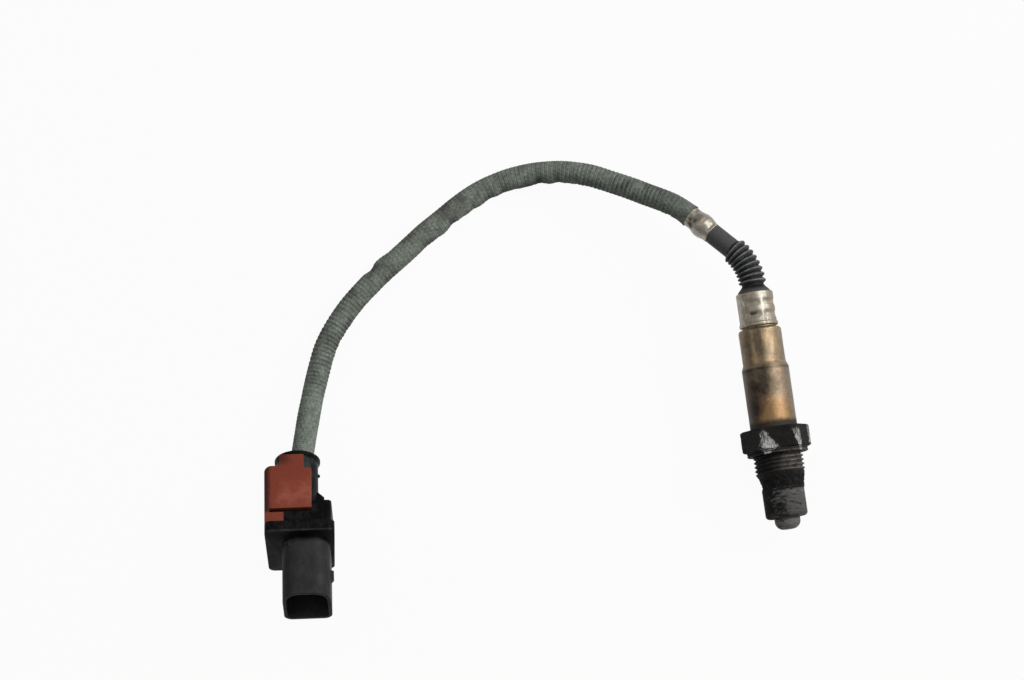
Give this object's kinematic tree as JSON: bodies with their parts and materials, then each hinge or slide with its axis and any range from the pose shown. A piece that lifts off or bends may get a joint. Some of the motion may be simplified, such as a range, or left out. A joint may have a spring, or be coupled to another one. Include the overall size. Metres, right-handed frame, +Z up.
{
  "type": "oxygen sensor",
  "caption": "Threaded exhaust oxygen sensor with a slotted protection tube, hexagon, crimped sleeve, bellows boot, fabric-sleeved cable and multi-pin plug.",
  "frame": {"origin": "middle of the metal sensor body in plan, on the floor that the part lies on", "axes": "+Y along the sensor body from its tip to its cable, in plan; +Z up; the cable runs away to -X and ends in the connector"},
  "size_m": [0.198, 0.1594, 0.0306],
  "materials": {
    "shell_steel": "hexagon and thread shell, near-black oxidised steel, rough",
    "ring_steel": "crush ring, dark oxidised steel",
    "tube_soot": "protection tube, sooted steel, matt",
    "inner_tube_steel": "inner protection tube, dull steel",
    "zirconia": "sensing element, off-white ceramic",
    "steatite": "bushes and contact holder, pale ceramic",
    "powder": "pressed powder seal, matt",
    "sleeve_steel": "housing sleeve, steel with straw and bronze heat tint",
    "collar_steel": "crimp collar, stained bright steel",
    "spring_steel": "holder clamp and contacts, plain spring steel",
    "grommet_rubber": "wire grommet, black rubber",
    "boot_rubber": "bellows boot, dark grey rubber, satin",
    "ferrule_steel": "crimped ferrule, stained steel",
    "sleeve_fabric": "glass-fibre cable sleeve, grey-green, matt and soiled",
    "lead_insulation": "lead insulation, grey",
    "black_plastic": "connector housing, black moulded plastic, worn satin",
    "cap_plastic": "rear cap, black moulded plastic",
    "red_plastic": "secondary lock, dull red-brown plastic",
    "seal_silicone": "wire seal, orange silicone",
    "tin": "terminal pins, tinned",
    "carrier_plastic": "pin carrier, black plastic",
    "resistor_ceramic": "trim resistor chip"
  },
  "bodies": {
    "root": {"metal_shell": "shell_steel", "sealing_ring": "ring_steel", "outer_protection_tube": "tube_soot", "inner_protection_tube": "inner_tube_steel", "sensing_element": "zirconia", "front_bush": "steatite", "powder_seal": "powder", "rear_bush": "steatite", "housing_sleeve": "sleeve_steel", "contact_holder_upper": "steatite", "contact_holder_lower": "steatite", "holder_clamp": "spring_steel", "contact_springs": "spring_steel", "grommet": "grommet_rubber", "crimp_collar": "collar_steel", "bellows_boot": "boot_rubber", "boot_ferrule": "ferrule_steel", "cable_sleeve": "sleeve_fabric", "lead_wires": "lead_insulation", "connector_housing": "black_plastic", "connector_rear_cap": "cap_plastic", "secondary_lock": "red_plastic", "wire_seal": "seal_silicone", "terminal_pins": "tin", "pin_carrier": "carrier_plastic", "trim_resistor": "resistor_ceramic"}
  },
  "joints": []
}
